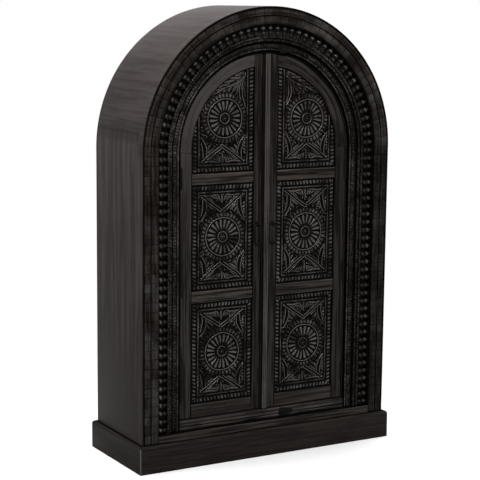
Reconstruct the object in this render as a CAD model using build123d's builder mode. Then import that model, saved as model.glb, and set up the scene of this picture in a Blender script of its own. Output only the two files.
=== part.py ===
from build123d import *

import math
import os

os.makedirs("parts", exist_ok=True)

# An arch-topped wooden cabinet with two carved doors, in millimetres.
# X runs to the right, Y to the back and Z up. The origin is on the floor, under the plinth's middle.
# A depth is measured back from the carcass's front face.

# Carcass
body_width = 1146
body_depth = 424
spring_height = 1256  # floor to the centre that every arch shares
side_thickness = 18
seam_rise = 85  # springing to the joint of side board and bent top
back_thickness = 9
play = 0.3  # between fitted pieces that aren't glued

# Plinth skirting
skirting_height = 114
skirting_thickness = 18
skirting_land = 4  # flat left on top beside the rounded edge

# Face frame, from the outer edge inwards
brick_width = 34.5
edge_margin = 3
recess_width = 46
outer_step_width = 27
inner_step_width = 38
front_layer = 40
core_thickness = 22
outer_step_thickness = 20
inner_step_thickness = 8.5
bead_width = 8
bead_thickness = 25
step_round = 3
sill_reveal = 30

# Carved brickwork
brick_length = 38.4
brick_joint = 2
brick_joint_depth = 1.6

# Turned spindles
spindle_pitch = 33.4
spindle_neck = 4
spindle_collar = 5.5
spindle_collar_length = 3.5
outer_ball = 9.5
inner_ball = 8.5
outer_ball_inset = 13.5
inner_ball_inset = 12.5

# Doors
meeting_gap = 3
door_reveal = 3  # from the front layer's back to the leaves' faces
leaf_thickness = 24
hinge_stile = 48
left_meeting_stile = 36
right_meeting_stile = 68
bottom_rail = 54
lower_rail = 46
upper_rail = 42
middle_panel_height = 428
top_panel_shoulder = 84  # straight side of the top panel below the springing
astragal_width = 30  # centred, so that the leaves meet along its left edge
astragal_base = 3.5
astragal_reeds = 3

# Panels and their carving
tongue_thickness = 8
groove_depth = 8
groove_play = 0.25
panel_raise = 2.5
relief = 3.5
border_width = 30
fillet_strip = 5
ring_radius = 77
ring_width = 6
petal_count = 20
petal_inner = 24
petal_outer = 62
petal_width = 8
boss_radius = 18
boss_dot = 7
top_rosette_rise = 126  # rosette's centre above the springing

# Hinges
hinge_height = 76
knuckle_radius = 4.5
pin_radius = 2.2
pin_play = 0.05
hinge_plate = 1.6
hinge_plate_play = 0.8  # between the two plates, so it sets the gap round the leaves
hinge_plate_depth = 17
knuckle_play = 0.5
knuckle_gap = 0.4
pin_head_lip = 1.2
pin_head = 3
low_hinge_rise = 115
high_hinge_drop = 95

# Pulls
pull_rise = 256  # middle panel's lower edge to the bail's pivot
pull_plate_radius = 9
pull_plate = 2
pull_standoff = 6
pull_eye_radius = 6
pull_eye_width = 5
bail_rod = 2.6
bail_play = 0.08
bail_clearance = 2  # beside the astragal
bail_width = 30
bail_length = 83
bail_shoulder = 10

# Turn buttons
button_margin = 1
button_reach = 46
button_tip = 4
button_thickness = 5
rivet_radius = 3
rivet_head_radius = 6
rivet_head = 2.5
rivet_play = 0.06
low_button_offset = 90
high_button_angle = 9

# Inside
floor_drop = 8
floor_thickness = 18
shelf_names = ("lower_shelf", "middle_shelf", "upper_shelf")
shelf_thickness = 18
top_shelf_drop = 46
shelf_clearance = 5  # behind the leaves
cleat = 20

# Worked out from the sizes above
half_width = body_width / 2
inner_half = half_width - side_thickness
front_y = -body_depth / 2
band_inner = half_width - edge_margin - 2 * brick_width
bead_outer = band_inner - recess_width
step_radius = bead_outer - outer_step_width
opening_radius = step_radius - inner_step_width
sill_top = skirting_height + sill_reveal
opening_bottom = sill_top + inner_step_width
core_back = front_layer + core_thickness
outer_step_depth = front_layer - outer_step_thickness
inner_step_depth = front_layer - inner_step_thickness
bead_depth = front_layer - bead_thickness
skirting_round = skirting_thickness - skirting_land
seam_height = spring_height + seam_rise
top_height = spring_height + half_width

door_setback = front_layer + door_reveal
door_gap = 2 * hinge_plate + hinge_plate_play
leaf_radius = opening_radius - door_gap
leaf_bottom = opening_bottom + door_gap
leaf_back = door_setback + leaf_thickness
leaf_middle = door_setback + leaf_thickness / 2
panel_radius = leaf_radius - hinge_stile
top_panel_bottom = spring_height - top_panel_shoulder
middle_panel_top = top_panel_bottom - upper_rail
middle_panel_bottom = middle_panel_top - middle_panel_height
bottom_panel_top = middle_panel_bottom - lower_rail
bottom_panel_bottom = leaf_bottom + bottom_rail
right_meeting = -astragal_width / 2
left_meeting = right_meeting - meeting_gap
panel_levels = {
    "bottom": (bottom_panel_bottom, bottom_panel_top),
    "middle": (middle_panel_bottom, middle_panel_top),
    "top": (top_panel_bottom, top_height),
}

hinge_x = opening_radius - knuckle_play - knuckle_radius
hinge_depth = door_setback - knuckle_radius - play
low_hinge = leaf_bottom + low_hinge_rise
high_hinge = spring_height - high_hinge_drop
hinge_heights = (low_hinge, (low_hinge + high_hinge) / 2, high_hinge)

floor_top = opening_bottom - floor_drop
top_shelf = spring_height - top_shelf_drop
shelf_pitch = (top_shelf - floor_top) / len(shelf_names)
shelf_tops = [floor_top + shelf_pitch * (step + 1) for step in range(len(shelf_names))]
shelf_front = leaf_back + shelf_clearance
shelf_back = body_depth - back_thickness - play


def depth_plane(depth):
    """A front-facing plane; extruding from it runs towards the front."""
    return Plane.XZ.offset(-front_y - depth)


def save(piece, name):
    piece.part.label = name
    export_step(piece.part, f"parts/{name}.step")


def block(x_low, x_high, z_low, z_high, mode=Mode.ADD):
    """A rectangle of a front view, given by its edges."""
    with Locations(((x_low + x_high) / 2, (z_low + z_high) / 2)):
        Rectangle(abs(x_high - x_low), z_high - z_low, mode=mode)


def arch_centre():
    return Locations((0, spring_height))


def round_headed(radius, bottom):
    """The outline of a round-headed opening, as a sketch of its own."""
    with BuildSketch(mode=Mode.PRIVATE) as outline:
        with arch_centre():
            Circle(radius)
        block(-radius, radius, spring_height - 2 * radius, spring_height, Mode.SUBTRACT)
        block(-radius, radius, bottom, spring_height)
    return outline.sketch


def half_ring(outer, inner):
    """The arched part of a frame, above the springing."""
    with arch_centre():
        Circle(outer)
        Circle(inner, mode=Mode.SUBTRACT)
    block(-outer, outer, spring_height - 2 * outer, spring_height, Mode.SUBTRACT)


# ---- Plinth ----

def skirting_board(name, length, reach, turn):
    """One mitred board; reach is from the origin to its inner face."""
    frame = Plane.XY.rotated((0, 0, turn))
    section = Plane(origin=(0, 0, 0), x_dir=-frame.y_dir, z_dir=-frame.x_dir)
    outer_half = length / 2 + skirting_thickness
    with BuildPart() as board:
        with BuildSketch(section) as profile:
            block(reach, reach + skirting_thickness, 0, skirting_height)
            outer_edge = (reach + skirting_thickness, skirting_height)
            fillet(profile.vertices().sort_by_distance(outer_edge)[0], radius=skirting_round)
        extrude(amount=outer_half, both=True)
        with BuildSketch(frame):
            Polygon(
                (-outer_half, -reach - skirting_thickness),
                (outer_half, -reach - skirting_thickness),
                (length / 2, -reach),
                (-length / 2, -reach),
                align=None,
            )
        extrude(amount=skirting_height, mode=Mode.INTERSECT)
    save(board, name)


skirting_board("front_skirting", body_width, body_depth / 2, 0)
skirting_board("right_skirting", body_depth, half_width, 90)
skirting_board("back_skirting", body_width, body_depth / 2, 180)
skirting_board("left_skirting", body_depth, half_width, 270)


# ---- Carcass ----

for side, name in ((-1, "left"), (1, "right")):
    with BuildPart() as side_board:
        with BuildSketch(depth_plane(body_depth)):
            half_ring(half_width, inner_half)
            block(-half_width, half_width, seam_height, top_height, Mode.SUBTRACT)
            block(-side * half_width, 0, spring_height, seam_height, Mode.SUBTRACT)
            block(side * inner_half, side * half_width, 0, spring_height)
        extrude(amount=body_depth - front_layer)
    save(side_board, f"{name}_side_board")

with BuildPart() as bent_top:
    with BuildSketch(depth_plane(body_depth)):
        half_ring(half_width, inner_half)
        block(-half_width, half_width, spring_height, seam_height, Mode.SUBTRACT)
    extrude(amount=body_depth - front_layer)
save(bent_top, "bent_top_board")

with BuildPart() as back_panel:
    with BuildSketch(depth_plane(body_depth)):
        add(round_headed(inner_half - play, 0))
    extrude(amount=back_thickness)
save(back_panel, "back_panel")


def inside_board(name, top, thickness, front):
    """A board between the side boards, standing on its cleats."""
    half = inner_half - play
    with BuildPart() as board:
        with BuildSketch(depth_plane(shelf_back)):
            block(-half, half, top - thickness, top)
        extrude(amount=shelf_back - front)
    save(board, name)


inside_board("floor_board", floor_top, floor_thickness, core_back + play)
for name, top in zip(shelf_names, shelf_tops):
    inside_board(name, top, shelf_thickness, shelf_front)

with BuildPart() as cleats:
    with BuildSketch(depth_plane(shelf_back)):
        for top in [floor_top - floor_thickness] + [top - shelf_thickness for top in shelf_tops]:
            for side in (-1, 1):
                block(side * (inner_half - cleat), side * inner_half, top - cleat, top)
    extrude(amount=shelf_back - shelf_front)
save(cleats, "shelf_cleats")


# ---- Face frame: core ----

core_outer = inner_half - play

for side, name in ((-1, "left"), (1, "right")):
    with BuildPart() as jamb:
        with BuildSketch(depth_plane(core_back)):
            block(side * opening_radius, side * core_outer, 0, spring_height)
        extrude(amount=core_thickness)
    save(jamb, f"{name}_jamb")

with BuildPart() as arch_head:
    with BuildSketch(depth_plane(core_back)):
        half_ring(core_outer, opening_radius)
    extrude(amount=core_thickness)
save(arch_head, "arch_head")

with BuildPart() as threshold_rail:
    with BuildSketch(depth_plane(core_back)):
        block(-opening_radius, opening_radius, 0, opening_bottom)
    extrude(amount=core_thickness)
save(threshold_rail, "threshold_rail")


# ---- Face frame: carved brick boards and sill ----

band_middle = half_width - edge_margin - brick_width
jamb_bricks = round((spring_height - skirting_height) / brick_length)
jamb_brick_pitch = (spring_height - skirting_height) / jamb_bricks
arch_bricks = round(math.pi * band_middle / brick_length)

for side, name in ((-1, "left"), (1, "right")):
    with BuildPart() as brick_board:
        with BuildSketch(depth_plane(front_layer)):
            block(side * band_inner, side * half_width, 0, spring_height)
        extrude(amount=front_layer)
        with BuildSketch(depth_plane(brick_joint_depth)):
            block(side * band_middle - brick_joint / 2, side * band_middle + brick_joint / 2,
                  skirting_height, spring_height)
            for course in range(1, jamb_bricks):
                level = skirting_height + course * jamb_brick_pitch
                block(side * band_inner, side * (half_width - edge_margin),
                      level - brick_joint / 2, level + brick_joint / 2)
        extrude(amount=2 * brick_joint_depth, mode=Mode.SUBTRACT)
    save(brick_board, f"{name}_brick_board")

with BuildPart() as arch_brick_board:
    with BuildSketch(depth_plane(front_layer)):
        half_ring(half_width, band_inner)
    extrude(amount=front_layer)
    with BuildSketch(depth_plane(brick_joint_depth)):
        half_ring(band_middle + brick_joint / 2, band_middle - brick_joint / 2)
        with arch_centre():
            with PolarLocations(band_inner, arch_bricks - 1, 180 / arch_bricks,
                                180 - 2 * 180 / arch_bricks, endpoint=True):
                Rectangle(half_width - edge_margin - band_inner, brick_joint, align=(Align.MIN, Align.CENTER))
    extrude(amount=2 * brick_joint_depth, mode=Mode.SUBTRACT)
save(arch_brick_board, "arch_brick_board")

with BuildPart() as sill:
    with BuildSketch(depth_plane(front_layer)):
        block(-band_inner, band_inner, 0, sill_top)
    extrude(amount=front_layer)
save(sill, "sill")


# ---- Face frame: stepped mouldings ----

def moulding_section(side):
    """Section of the jamb moulding: a bead, the outer step and the lower inner step."""
    bead_inner = bead_outer - bead_width
    rounded = [
        (side * bead_outer, front_y + bead_depth),
        (side * bead_inner, front_y + bead_depth),
        (side * step_radius, front_y + outer_step_depth),
    ]
    with BuildSketch(mode=Mode.PRIVATE) as section:
        Polygon(
            (side * bead_outer, front_y + front_layer),
            rounded[0],
            rounded[1],
            (side * bead_inner, front_y + outer_step_depth),
            rounded[2],
            (side * step_radius, front_y + inner_step_depth),
            (side * opening_radius, front_y + inner_step_depth),
            (side * opening_radius, front_y + front_layer),
            align=None,
        )
        fillet([section.vertices().sort_by_distance(corner)[0] for corner in rounded], radius=step_round)
    return section.sketch


for side, name in ((-1, "left"), (1, "right")):
    with BuildPart() as moulding:
        with BuildSketch(Plane.XY.offset(sill_top)):
            add(moulding_section(side))
        extrude(amount=spring_height - sill_top)
    save(moulding, f"{name}_moulding")

with BuildPart() as arch_moulding:
    with BuildSketch(Plane.XY.offset(spring_height)):
        add(moulding_section(1))
    revolve(axis=Axis((0, 0, spring_height), (0, -1, 0)), revolution_arc=180)
save(arch_moulding, "arch_moulding")

with BuildPart() as bottom_moulding:
    with BuildSketch(depth_plane(front_layer)):
        block(-opening_radius, opening_radius, sill_top, opening_bottom)
    extrude(amount=front_layer - inner_step_depth)
save(bottom_moulding, "bottom_moulding")


# ---- Face frame: turned spindles ----

spindle_length = recess_width - 2 * play

with BuildPart() as spindle:
    with BuildSketch(Plane.XY):
        with Locations((spindle_length / 2, 0)):
            Rectangle(spindle_length, 2 * spindle_neck)
        for collar_centre in (spindle_collar_length / 2, spindle_length - spindle_collar_length / 2):
            with Locations((collar_centre, 0)):
                Rectangle(spindle_collar_length, 2 * spindle_collar)
        with Locations((spindle_length - outer_ball_inset, 0)):
            Circle(outer_ball)
        with Locations((inner_ball_inset, 0)):
            Circle(inner_ball)
        with Locations((spindle_length / 2, -outer_ball)):
            Rectangle(2 * spindle_length, 2 * outer_ball, mode=Mode.SUBTRACT)
    revolve(axis=Axis.X)

spindle_y = front_y + front_layer / 2
spindle_start = bead_outer + play
jamb_spindles = round((spring_height - sill_top) / spindle_pitch)
jamb_spindle_pitch = (spring_height - sill_top) / jamb_spindles
arch_spindle_count = round(math.pi * (bead_outer + recess_width / 2) / spindle_pitch)

for turn, name in ((180, "left"), (0, "right")):
    side = math.cos(math.radians(turn))
    with BuildPart() as jamb_row:
        with Locations([
            Location((side * spindle_start, spindle_y, sill_top + (place + 0.5) * jamb_spindle_pitch), (0, 0, turn))
            for place in range(jamb_spindles)
        ]):
            add(spindle.part)
    save(jamb_row, f"{name}_spindles")

with BuildPart() as arch_row:
    for place in range(arch_spindle_count):
        angle = 180 * (place + 0.5) / arch_spindle_count
        reach = Vector(spindle_start, 0, 0).rotate(Axis.Y, -angle)
        with Locations(Location((reach.X, spindle_y, spring_height + reach.Z), (0, -angle, 0))):
            add(spindle.part)
save(arch_row, "arch_spindles")


# ---- Doors ----

def panel_outline(x_low, x_high, level, grow):
    """A panel's outline, widened all round by grow; the top one follows the arch."""
    z_low, z_high = panel_levels[level]
    with BuildSketch(mode=Mode.PRIVATE) as outline:
        block(x_low - grow, x_high + grow, z_low - grow, z_high + grow)
        if level == "top":
            add(round_headed(panel_radius + grow, z_low - grow), mode=Mode.INTERSECT)
    return outline.sketch


def cut_grooves(x_low, x_high):
    """Grooves for the three panels' tongues, cut into the leaf's member being built."""
    half_groove = tongue_thickness / 2 + groove_play
    with BuildSketch(depth_plane(leaf_middle + half_groove)) as grooves:
        for level in panel_levels:
            add(panel_outline(x_low, x_high, level, groove_depth))
    extrude(grooves.sketch, amount=2 * half_groove, mode=Mode.SUBTRACT)


def build_leaf(side, door, meeting, meeting_stile):
    """All the members and panels of one leaf; side is -1 for the left one."""
    hinge_edge = side * leaf_radius
    panel_hinge = side * panel_radius
    panel_meeting = meeting + side * meeting_stile
    x_low, x_high = sorted((panel_hinge, panel_meeting))
    leaf_plane = depth_plane(leaf_back)

    with BuildPart() as hinge_member:
        with BuildSketch(leaf_plane):
            block(hinge_edge, panel_hinge, leaf_bottom, spring_height)
        extrude(amount=leaf_thickness)
        cut_grooves(x_low, x_high)
    save(hinge_member, f"{door}_hinge_stile")

    with BuildPart() as meeting_member:
        with BuildSketch(leaf_plane):
            block(meeting, panel_meeting, leaf_bottom, top_height)
            add(round_headed(leaf_radius, leaf_bottom), mode=Mode.INTERSECT)
        extrude(amount=leaf_thickness)
        cut_grooves(x_low, x_high)
    save(meeting_member, f"{door}_meeting_stile")

    with BuildPart() as arched_member:
        with BuildSketch(leaf_plane):
            half_ring(leaf_radius, panel_radius)
            block(-side * leaf_radius, panel_meeting, spring_height, top_height, Mode.SUBTRACT)
        extrude(amount=leaf_thickness)
        cut_grooves(x_low, x_high)
    save(arched_member, f"{door}_arched_rail")

    rails = {
        "bottom": (leaf_bottom, bottom_panel_bottom),
        "lower": (bottom_panel_top, middle_panel_bottom),
        "upper": (middle_panel_top, top_panel_bottom),
    }
    for rail_name, (z_low, z_high) in rails.items():
        with BuildPart() as rail:
            with BuildSketch(leaf_plane):
                block(x_low, x_high, z_low, z_high)
            extrude(amount=leaf_thickness)
            cut_grooves(x_low, x_high)
        save(rail, f"{door}_{rail_name}_rail")

    for level in panel_levels:
        build_panel(door, level, x_low, x_high)


def build_panel(door, level, x_low, x_high):
    """A tongued panel with its carved border, rosette and ring in low relief."""
    tongue_back = leaf_middle + tongue_thickness / 2
    tongue_front = tongue_back - tongue_thickness
    face = tongue_front - panel_raise
    z_low, z_high = panel_levels[level]
    centre_x = (x_low + x_high) / 2
    centre_z = spring_height + top_rosette_rise if level == "top" else (z_low + z_high) / 2
    petal_length = petal_outer - petal_inner
    with BuildPart() as panel:
        with BuildSketch(depth_plane(tongue_back)):
            add(panel_outline(x_low, x_high, level, groove_depth - play))
        extrude(amount=tongue_thickness)
        with BuildSketch(depth_plane(tongue_front)):
            add(panel_outline(x_low, x_high, level, -play))
        extrude(amount=panel_raise)
        with BuildSketch(depth_plane(face)):
            add(panel_outline(x_low, x_high, level, -border_width))
            add(panel_outline(x_low, x_high, level, -border_width - fillet_strip), mode=Mode.SUBTRACT)
            with Locations((centre_x, centre_z)):
                Circle(ring_radius)
                Circle(ring_radius - ring_width, mode=Mode.SUBTRACT)
                Circle(boss_radius)
                Circle(boss_dot, mode=Mode.SUBTRACT)
                with PolarLocations(petal_inner + petal_length / 2, petal_count):
                    SlotOverall(petal_length, petal_width)
        extrude(amount=relief)
    save(panel, f"{door}_{level}_panel")


build_leaf(-1, "left_door", left_meeting, left_meeting_stile)
build_leaf(1, "right_door", right_meeting, right_meeting_stile)

with BuildPart() as astragal:
    reed_pitch = astragal_width / astragal_reeds
    with BuildSketch(Plane.XY.offset(leaf_bottom)):
        with Locations((right_meeting + astragal_width / 2, front_y + door_setback - astragal_base / 2)):
            Rectangle(astragal_width, astragal_base)
        for reed in range(astragal_reeds):
            with Locations((right_meeting + (reed + 0.5) * reed_pitch, front_y + door_setback - astragal_base)):
                Circle(reed_pitch / 2)
        with Locations((right_meeting + astragal_width / 2, front_y + door_setback + reed_pitch / 2)):
            Rectangle(2 * astragal_width, reed_pitch, mode=Mode.SUBTRACT)
    extrude(amount=top_height - leaf_bottom)
    with BuildSketch(depth_plane(leaf_back)):
        add(round_headed(leaf_radius, leaf_bottom))
    extrude(amount=leaf_back, mode=Mode.INTERSECT)
save(astragal, "right_door_astragal")


# ---- Hinges ----

knuckle_length = (hinge_height - 2 * knuckle_gap) / 3
plate_front = door_setback + play
plate_back = door_setback + hinge_plate_depth


def hinge_half(side, name, knuckle_starts, plate_inner):
    """One half of each hinge on a side: knuckles, their wraps, and a plate in the door's gap."""
    plate_outer = plate_inner + hinge_plate
    with BuildPart() as half:
        for level in hinge_heights:
            bottom = level - hinge_height / 2
            with BuildSketch(Plane.XY.offset(bottom)):
                block(side * plate_inner, side * plate_outer, front_y + plate_front, front_y + plate_back)
            extrude(amount=hinge_height)
            for start in knuckle_starts:
                with BuildSketch(Plane.XY.offset(bottom + start)):
                    with Locations((side * hinge_x, front_y + hinge_depth)):
                        Circle(knuckle_radius)
                    block(side * plate_inner, side * plate_outer, front_y + hinge_depth, front_y + plate_front)
                    with Locations((side * hinge_x, front_y + hinge_depth)):
                        Circle(pin_radius + pin_play, mode=Mode.SUBTRACT)
                extrude(amount=knuckle_length)
    save(half, name)


pin_half = hinge_height / 2 + play

for side, name in ((-1, "left"), (1, "right")):
    hinge_half(side, f"{name}_hinge_frame_halves", (0, 2 * (knuckle_length + knuckle_gap)),
               opening_radius - hinge_plate)
    hinge_half(side, f"{name}_hinge_door_halves", (knuckle_length + knuckle_gap,), leaf_radius)
    with BuildPart() as pins:
        for level in hinge_heights:
            with Locations((side * hinge_x, front_y + hinge_depth, level)):
                Cylinder(pin_radius, 2 * pin_half)
                with Locations((0, 0, pin_half + pin_head / 2), (0, 0, -pin_half - pin_head / 2)):
                    Cylinder(pin_radius + pin_head_lip, pin_head)
    save(pins, f"{name}_hinge_pins")


# ---- Pulls ----

pull_depth = door_setback - pull_standoff
pull_height = middle_panel_bottom + pull_rise
pull_offset = astragal_width / 2 + bail_clearance + bail_rod + bail_width / 2
bail_bend = pull_height - bail_length + bail_width / 2

for side, name in ((-1, "left"), (1, "right")):
    with BuildPart() as eye_post:
        with BuildSketch(depth_plane(door_setback)):
            with Locations((side * pull_offset, pull_height)):
                Circle(pull_plate_radius)
        extrude(amount=pull_plate)
        with BuildSketch(Plane.YZ.offset(side * pull_offset - pull_eye_width / 2)):
            with Locations((front_y + pull_depth, pull_height)):
                Circle(pull_eye_radius)
            block(front_y + pull_depth, front_y + door_setback,
                  pull_height - pull_eye_radius, pull_height + pull_eye_radius)
            with Locations((front_y + pull_depth, pull_height)):
                Circle(bail_rod + bail_play, mode=Mode.SUBTRACT)
        extrude(amount=pull_eye_width)
    save(eye_post, f"{name}_pull_post")

    with BuildPart() as bail:
        with BuildLine(depth_plane(pull_depth)) as loop:
            FilletPolyline(
                (side * pull_offset - bail_width / 2, bail_bend),
                (side * pull_offset - bail_width / 2, pull_height),
                (side * pull_offset + bail_width / 2, pull_height),
                (side * pull_offset + bail_width / 2, bail_bend),
                radius=bail_shoulder,
            )
            CenterArc((side * pull_offset, bail_bend), bail_width / 2, 180, 180)
        with BuildSketch(Plane(loop.wire() @ 0, z_dir=loop.wire() % 0)):
            Circle(bail_rod)
        sweep()
    save(bail, f"{name}_bail")


# ---- Turn buttons ----

button_radius = inner_step_width / 2 - button_margin
button_back = inner_step_depth - play
button_front = button_back - button_thickness
button_ring = (step_radius + opening_radius) / 2
high_button_x = button_ring * math.sin(math.radians(high_button_angle))
high_button_z = spring_height + button_ring * math.cos(math.radians(high_button_angle))
low_button_z = (sill_top + opening_bottom) / 2
buttons = {
    "top_turn_button": (high_button_x, high_button_z, high_button_angle),
    "bottom_turn_button": (low_button_offset, low_button_z, 0),
}

for name, (pivot_x, pivot_z, turn) in buttons.items():
    plane = Plane(
        origin=(pivot_x, front_y + button_back, pivot_z),
        x_dir=Vector(1, 0, 0).rotate(Axis.Y, turn),
        z_dir=(0, -1, 0),
    )
    with BuildPart() as button:
        with BuildSketch(plane):
            Circle(button_radius)
            with Locations((button_reach, 0)):
                Circle(button_tip)
            make_hull()
            Circle(rivet_radius + rivet_play, mode=Mode.SUBTRACT)
        extrude(amount=button_thickness)
    save(button, name)

with BuildPart() as rivets:
    for pivot_x, pivot_z, _ in buttons.values():
        with BuildSketch(depth_plane(inner_step_depth)):
            with Locations((pivot_x, pivot_z)):
                Circle(rivet_radius)
        extrude(amount=inner_step_depth - button_front + play)
        with BuildSketch(depth_plane(button_front - play)):
            with Locations((pivot_x, pivot_z)):
                Circle(rivet_head_radius)
        extrude(amount=rivet_head)
save(rivets, "button_rivets")
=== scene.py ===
import math

import bmesh
import bpy
import numpy as np
from mathutils import Matrix, Vector


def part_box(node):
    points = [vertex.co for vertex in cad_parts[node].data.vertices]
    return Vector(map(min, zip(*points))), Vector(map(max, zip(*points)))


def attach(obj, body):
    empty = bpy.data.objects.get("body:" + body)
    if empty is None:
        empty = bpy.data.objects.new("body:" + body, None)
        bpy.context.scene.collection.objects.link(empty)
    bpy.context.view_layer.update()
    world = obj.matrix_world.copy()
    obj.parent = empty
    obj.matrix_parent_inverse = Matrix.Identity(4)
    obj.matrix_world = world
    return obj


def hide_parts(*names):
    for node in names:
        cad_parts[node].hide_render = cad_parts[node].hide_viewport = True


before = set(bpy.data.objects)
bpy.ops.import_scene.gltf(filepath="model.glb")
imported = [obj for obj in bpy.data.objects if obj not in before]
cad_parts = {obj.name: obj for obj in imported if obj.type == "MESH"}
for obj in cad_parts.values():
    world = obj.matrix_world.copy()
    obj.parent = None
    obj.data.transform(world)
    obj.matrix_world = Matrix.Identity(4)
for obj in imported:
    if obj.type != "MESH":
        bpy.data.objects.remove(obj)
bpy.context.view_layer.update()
mm = 0.001
scene = bpy.context.scene

# places read from the frame: x from the middle, y from front to back, z from the floor
brickLow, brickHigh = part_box("right_brick_board")
mouldLow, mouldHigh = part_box("right_moulding")
spindleLow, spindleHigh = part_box("right_spindles")
skirtingLow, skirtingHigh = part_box("front_skirting")
stepLow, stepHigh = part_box("bottom_moulding")
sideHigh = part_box("right_side_board")[1]
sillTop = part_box("sill")[1].z
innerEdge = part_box("right_jamb")[1].x
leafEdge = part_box("right_door_hinge_stile")[1].x
frontY, layerBackY = brickLow.y, brickHigh.y
bandInner, outerEdge = brickLow.x, brickHigh.x
springZ, seamZ = brickHigh.z, sideHigh.z


class Wire:  # wraps one socket, so that node maths reads as arithmetic
    def __init__(self, tree, socket):
        self.tree = tree
        self.socket = socket

    def other(self, name):  # another output of the same node
        return Wire(self.tree, self.socket.node.outputs[name])

    def maths(self, operation, first, second=0.0):
        return makeNode(self.tree, "ShaderNodeMath", {0: first, 1: second}, operation=operation)

    def __add__(self, value):
        return self.maths("ADD", self, value)

    def __radd__(self, value):
        return self.maths("ADD", value, self)

    def __sub__(self, value):
        return self.maths("SUBTRACT", self, value)

    def __rsub__(self, value):
        return self.maths("SUBTRACT", value, self)

    def __mul__(self, value):
        return self.maths("MULTIPLY", self, value)

    def __rmul__(self, value):
        return self.maths("MULTIPLY", value, self)

    def __pow__(self, value):
        return self.maths("POWER", self, value)

    def __abs__(self):
        return self.maths("ABSOLUTE", self)

    def limit(self):
        return makeNode(self.tree, "ShaderNodeClamp", {"Value": self})

    def ramp(self, low, high):  # 0 below low, 1 above high, soft between
        values = {"Value": self, "From Min": low, "From Max": high}
        return makeNode(self.tree, "ShaderNodeMapRange", values, interpolation_type="SMOOTHSTEP")


def fillSockets(tree, node, sockets):
    for key, value in sockets.items():
        if isinstance(value, Wire):
            tree.links.new(value.socket, node.inputs[key])
        else:
            node.inputs[key].default_value = value


def makeNode(tree, kind, sockets=None, output=0, **settings):
    made = tree.nodes.new(kind)
    for name, value in settings.items():
        setattr(made, name, value)
    fillSockets(tree, made, sockets or {})
    return Wire(tree, made.outputs[output]) if made.outputs else None


def mixColour(tree, factor, first, second):  # the sockets are the node's colour ones
    return makeNode(tree, "ShaderNodeMix", {0: factor, 6: first, 7: second}, output=2, data_type="RGBA")


def newFinish(name):
    finish = bpy.data.materials.new(name)
    finish.use_nodes = True
    tree = finish.node_tree
    return finish, tree, tree.nodes["Principled BSDF"]


wood = {  # what every wooden finish shares
    # each noise: scale, detail, roughness, distortion
    "grain": (1.0, 6.0, 0.62, 0.35), "pores": (4.5, 3.0, 0.7, 0.0), "cloud": (1.0, 3.0, 0.55, 0.0),
    "scuffs": (150.0, 4.0, 0.7, 0.0), "grainBand": (0.42, 0.60), "poreBand": (0.60, 0.74),
    "stainBand": (0.02, 0.34), "wearBand": (0.50, 1.10),  # level of wear and painted light at which the stain, then bare wood, shows
    # shares of random tone, painted light towards the top, painted shade and staining towards the floor; then
    # corner wear and the coat's roughness
    "toneShare": 0.07, "paleShare": 0.6, "shadeShare": 0.35, "cornerWear": 1.1, "coatRoughness": 0.26,
    # darker by the seam of the side and the top: drop of its middle, reach and share, in millimetres
    "seamLine": (0, (1, 8), 0.06), "seamShade": (14, (8, 45)),
}


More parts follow.
